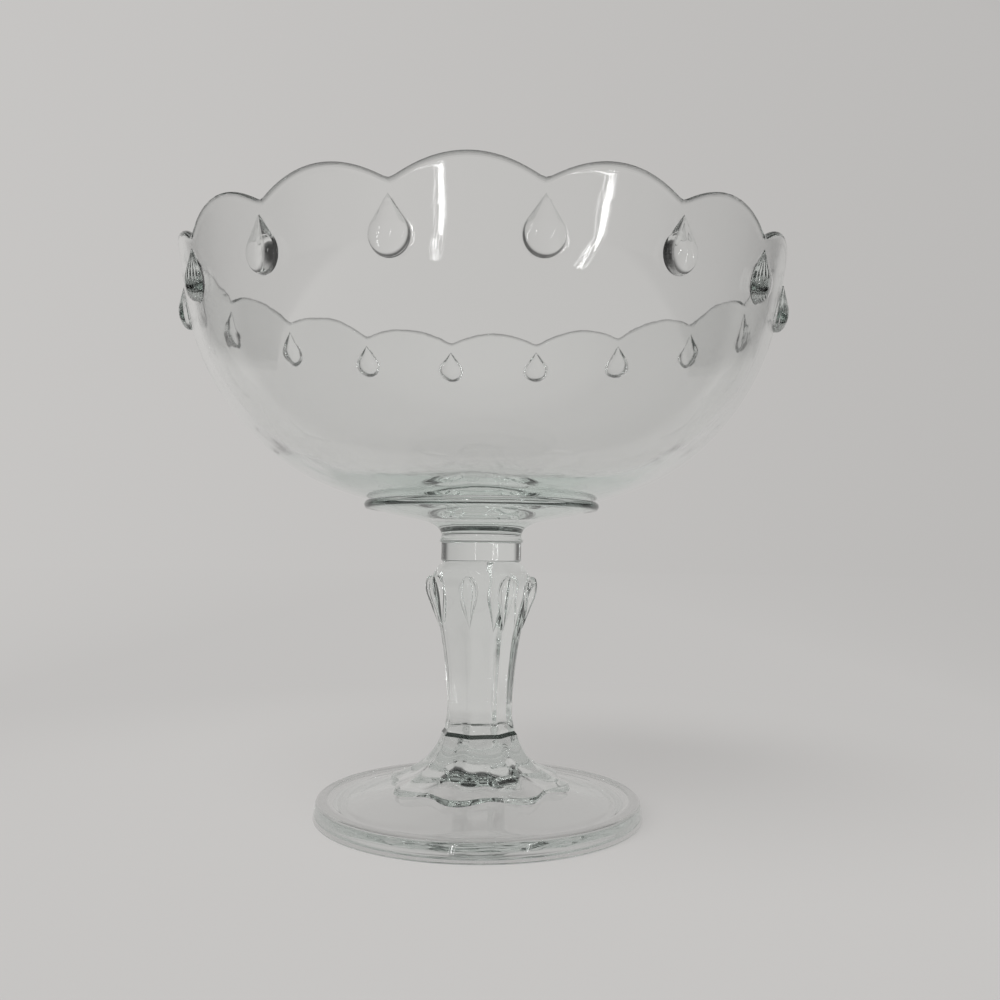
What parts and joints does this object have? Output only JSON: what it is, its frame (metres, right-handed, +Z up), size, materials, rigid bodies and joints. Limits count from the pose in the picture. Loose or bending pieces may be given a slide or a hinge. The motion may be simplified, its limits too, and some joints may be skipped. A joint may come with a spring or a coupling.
{
  "type": "pedestal compote bowl",
  "caption": "Clear pressed-glass compote: scalloped footed bowl with raised drops under the rim, on a saucer, a panelled stem and a round foot, for serving fruit or sweets.",
  "frame": {"origin": "middle of the rest plane under the foot", "axes": "+Z up along the axis of the bowl, stem and foot; a rim notch lies on each of the X and Y axes and a flat panel of the stem faces -Y"},
  "size_m": [0.2356, 0.2356, 0.2148],
  "materials": {
    "clear_glass": "clear, fire-polished pressed glass with a faint grey-green tone in thick sections"
  },
  "bodies": {
    "root": {"bowl": "clear_glass", "saucer": "clear_glass", "stem": "clear_glass", "foot": "clear_glass"}
  },
  "joints": []
}
